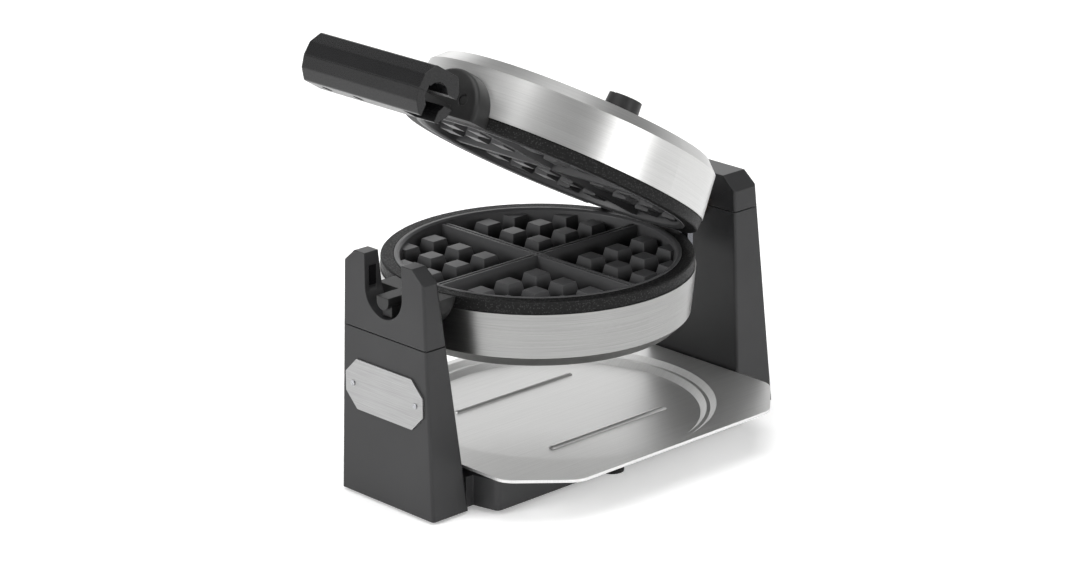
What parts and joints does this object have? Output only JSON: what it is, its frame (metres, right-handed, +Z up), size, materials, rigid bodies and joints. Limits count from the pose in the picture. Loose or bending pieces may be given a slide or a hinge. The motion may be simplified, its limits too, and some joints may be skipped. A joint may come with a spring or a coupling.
{
  "type": "waffle maker",
  "caption": "Flip-over round waffle maker: two hinged waffle pans on a turning shaft between two towers, with folding handle and pull-out drip tray.",
  "frame": {"origin": "on the table under the middle of the overall box, between the two towers", "axes": "+Z up, +Y towards the rear tower, +X to the side the tray pulls out"},
  "size_m": [0.217, 0.3198, 0.2961],
  "materials": {
    "tower_plastic": "satin dark grey moulded plastic",
    "handle_plastic": "satin dark grey moulded plastic",
    "black_plastic": "fine grained black plastic",
    "brushed_steel": "brushed stainless steel",
    "nonstick_plate": "cast aluminium with black nonstick coating",
    "shield_sheet": "bright aluminium sheet",
    "heater_sheath": "heat-toned steel sheath",
    "plated_steel": "zinc plated steel",
    "fastener_steel": "bright steel",
    "foot_rubber": "matte black rubber",
    "bush_bronze": "oiled bronze",
    "fuse_metal": "drawn metal can",
    "thermostat_case": "brown heat-proof moulding",
    "red_lens": "clear red lens",
    "green_lens": "clear green lens",
    "knob_plastic": "black plastic, ribbed"
  },
  "bodies": {
    "base": {"base_rail": "black_plastic", "base_bottom_cover": "black_plastic", "base_cover_screws": "fastener_steel", "rubber_feet": "foot_rubber", "tower_screws": "fastener_steel", "front_tower_shell": "tower_plastic", "front_tower_fork": "tower_plastic", "slot_wear_strips": "plated_steel", "fork_clamp_bar": "plated_steel", "fork_screws": "fastener_steel", "name_plate": "brushed_steel", "name_plate_rivets": "fastener_steel", "rear_tower_shell": "tower_plastic", "rear_tower_cap": "tower_plastic", "cap_screws": "fastener_steel", "bearing_bush": "bush_bronze", "cord_bush": "black_plastic", "terminal_block": "black_plastic"},
    "tray": {"drip_tray": "brushed_steel"},
    "head": {"lower_plate": "nonstick_plate", "lower_cover": "brushed_steel", "lower_bezel": "black_plastic", "lower_heating_element": "heater_sheath", "lower_heat_shield": "shield_sheet", "lower_shield_screws": "fastener_steel", "lower_cover_screws": "fastener_steel", "thermal_fuse": "fuse_metal", "hinge_yoke": "plated_steel", "yoke_screws": "fastener_steel", "trunnion_shaft": "plated_steel", "retaining_ring": "fastener_steel", "rotation_stop": "fastener_steel", "hinge_pins": "fastener_steel", "front_trunnion": "black_plastic"},
    "lid": {"upper_plate": "nonstick_plate", "lid_cover": "brushed_steel", "upper_bezel": "black_plastic", "upper_heating_element": "heater_sheath", "upper_heat_shield": "shield_sheet", "upper_shield_screws": "fastener_steel", "lid_cover_screws": "fastener_steel", "hinge_leaf": "plated_steel", "leaf_screws": "fastener_steel", "thermostat": "thermostat_case", "power_light": "red_lens", "ready_light": "green_lens", "handle_hub": "black_plastic", "hub_screws": "fastener_steel"},
    "knob": {"browning_knob": "knob_plastic"},
    "handle": {"handle_upper_shell": "handle_plastic", "handle_lower_shell": "handle_plastic", "handle_pivot_pin": "fastener_steel", "handle_screws": "fastener_steel"}
  },
  "joints": [
    {"name": "head_flip", "type": "hinge", "parent": "base", "child": "head", "pos_m": [0, 0.12209, 0.145], "axis": [0, 1, 0], "range_deg": [0, 90]},
    {"name": "lid_hinge", "type": "hinge", "parent": "head", "child": "lid", "pos_m": [0, 0.06909, 0.1475], "axis": [-1, 0, 0], "range_deg": [-32, 28]},
    {"name": "browning_knob_turn", "type": "hinge", "parent": "lid", "child": "knob", "pos_m": [0, 0.04942, 0.21698], "axis": [0, 0.5299, 0.848], "range_deg": [-135, 135]},
    {"name": "handle_fold", "type": "hinge", "parent": "lid", "child": "handle", "pos_m": [0, -0.14128, 0.27601], "axis": [0, 0.5299, 0.848], "range_deg": [0, 90]},
    {"name": "tray_slide", "type": "slide", "parent": "base", "child": "tray", "axis": [1, 0, 0], "range_m": [0, 0.14]}
  ]
}
